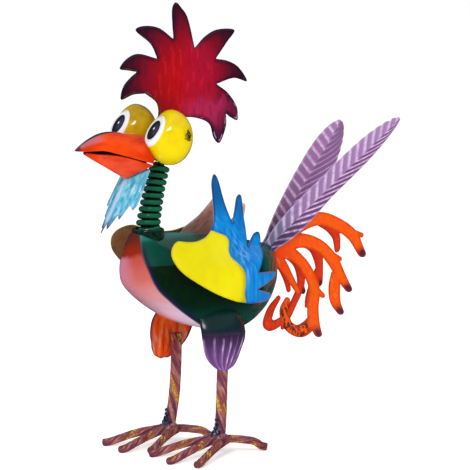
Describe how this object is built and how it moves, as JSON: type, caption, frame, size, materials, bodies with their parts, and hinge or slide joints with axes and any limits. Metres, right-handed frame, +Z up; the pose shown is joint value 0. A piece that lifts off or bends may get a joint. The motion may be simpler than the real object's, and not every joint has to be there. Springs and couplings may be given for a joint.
{
  "type": "rooster figurine",
  "caption": "Standing rooster figurine of painted sheet metal with a coil-spring neck, bulging eyes, spiky comb, layered wings, fanned tail and rod legs; an ornament for a shelf or garden.",
  "frame": {"origin": "bottom centre of the bounding box, on the floor the toes stand on", "axes": "+Z up through the comb, beak towards -Y, tail towards +Y, the bird's left side towards +X"},
  "size_m": [0.1516, 0.3542, 0.4201],
  "materials": {
    "green_enamel": "gloss",
    "pink_enamel": "gloss",
    "yellow_enamel": "gloss",
    "orange_enamel": "gloss",
    "blue_enamel": "gloss",
    "red_enamel": "gloss",
    "lilac_enamel": "gloss",
    "brown_enamel": "gloss"
  },
  "bodies": {
    "root": {"body_shell_left": "green_enamel", "body_shell_right": "green_enamel", "chest_panel": "pink_enamel", "neck_collar": "green_enamel", "neck_coil": "green_enamel", "head_stem": "green_enamel", "eye_left": "yellow_enamel", "eye_right": "yellow_enamel", "beak_upper": "orange_enamel", "beak_lower": "orange_enamel", "beard": "blue_enamel", "comb": "red_enamel", "wing_cover_left": "yellow_enamel", "wing_cover_right": "yellow_enamel", "wing_feathers_left": "blue_enamel", "wing_feathers_right": "blue_enamel", "tail_feather_left": "lilac_enamel", "tail_feather_right": "lilac_enamel", "tail_plume_left": "orange_enamel", "tail_plume_right": "orange_enamel", "thigh_left": "lilac_enamel", "thigh_right": "lilac_enamel", "leg_left": "brown_enamel", "leg_right": "brown_enamel", "toe_inner_left": "brown_enamel", "toe_inner_right": "brown_enamel", "toe_middle_left": "brown_enamel", "toe_middle_right": "brown_enamel", "toe_outer_back_left": "brown_enamel", "toe_outer_back_right": "brown_enamel"}
  },
  "joints": []
}
